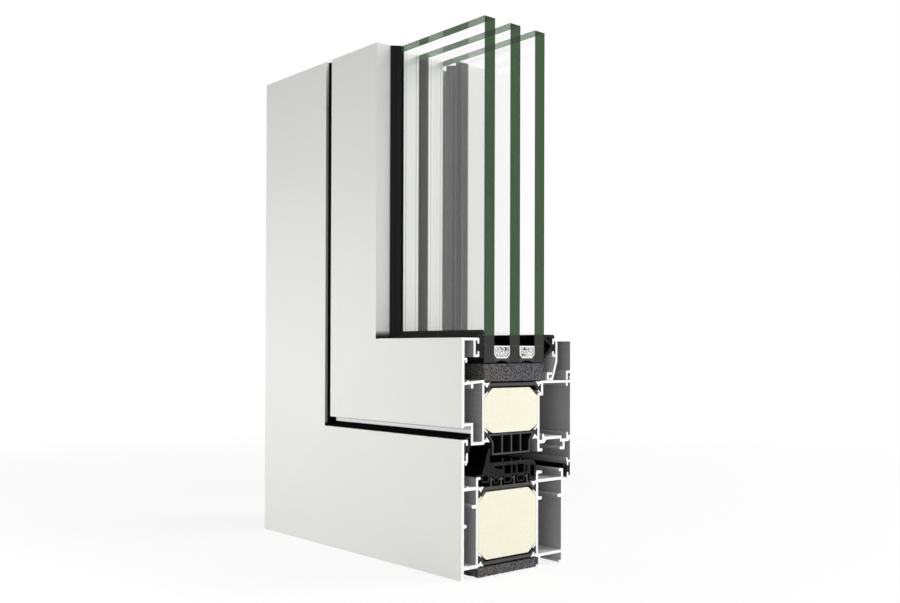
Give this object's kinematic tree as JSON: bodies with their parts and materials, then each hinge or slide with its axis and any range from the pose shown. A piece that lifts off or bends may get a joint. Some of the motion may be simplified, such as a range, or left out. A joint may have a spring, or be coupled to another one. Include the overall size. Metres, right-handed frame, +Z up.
{
  "type": "window frame profile section",
  "caption": "Mitred corner sample of a thermally broken aluminium window: outer frame, opening sash and triple glazing, sawn to show chambers, foam, bars and gaskets.",
  "frame": {"origin": "middle of the bounding box, on the floor under the bottom leg", "axes": "+X along the bottom leg towards its sawn end, +Y from the outside face to the inside, +Z up the left leg"},
  "size_m": [0.216, 0.0886, 0.317],
  "materials": {
    "painted_aluminium": "matt light grey powder coat, bare bright metal on the sawn ends",
    "insulating_bar": "dark grey glass-filled plastic",
    "cream_foam": "cream closed-cell insulation foam",
    "dark_foam": "dark grey speckled foam",
    "rubber": "black gasket rubber",
    "glass": "clear float glass with green edges",
    "spacer": "pale matt spacer tube",
    "desiccant": "pale granules",
    "sealant": "dark grey edge sealant",
    "bare_aluminium": "mill finish aluminium"
  },
  "bodies": {
    "root": {"frame_outside_profile_bottom": "painted_aluminium", "frame_outside_profile_left": "painted_aluminium", "frame_inside_profile_bottom": "painted_aluminium", "frame_inside_profile_left": "painted_aluminium", "frame_upper_bar_bottom": "insulating_bar", "frame_upper_bar_left": "insulating_bar", "frame_lower_bar_bottom": "insulating_bar", "frame_lower_bar_left": "insulating_bar", "frame_foam_core_bottom": "cream_foam", "frame_foam_core_left": "cream_foam", "base_foam_strip_bottom": "dark_foam", "base_foam_strip_left": "dark_foam", "centre_gasket_bottom": "rubber", "centre_gasket_left": "rubber", "frame_outside_gasket_bottom": "rubber", "frame_outside_gasket_left": "rubber", "sash_outside_profile_bottom": "painted_aluminium", "sash_outside_profile_left": "painted_aluminium", "sash_inside_profile_bottom": "painted_aluminium", "sash_inside_profile_left": "painted_aluminium", "sash_upper_bar_bottom": "insulating_bar", "sash_upper_bar_left": "insulating_bar", "sash_lower_bar_bottom": "insulating_bar", "sash_lower_bar_left": "insulating_bar", "sash_foam_core_bottom": "cream_foam", "sash_foam_core_left": "cream_foam", "glazing_foam_strip_bottom": "dark_foam", "glazing_foam_strip_left": "dark_foam", "outside_glazing_gasket_bottom": "rubber", "outside_glazing_gasket_left": "rubber", "inside_glazing_gasket_bottom": "rubber", "inside_glazing_gasket_left": "rubber", "glazing_bead_bottom": "painted_aluminium", "glazing_bead_left": "painted_aluminium", "overlap_gasket_bottom": "rubber", "overlap_gasket_left": "rubber", "glass_pane_outside": "glass", "glass_pane_middle": "glass", "glass_pane_inside": "glass", "spacer_outside": "spacer", "desiccant_outside": "desiccant", "edge_sealant_outside": "sealant", "spacer_inside": "spacer", "desiccant_inside": "desiccant", "edge_sealant_inside": "sealant", "frame_outside_cleat": "bare_aluminium", "frame_inside_cleat": "bare_aluminium", "sash_outside_cleat": "bare_aluminium", "sash_inside_cleat": "bare_aluminium"}
  },
  "joints": []
}
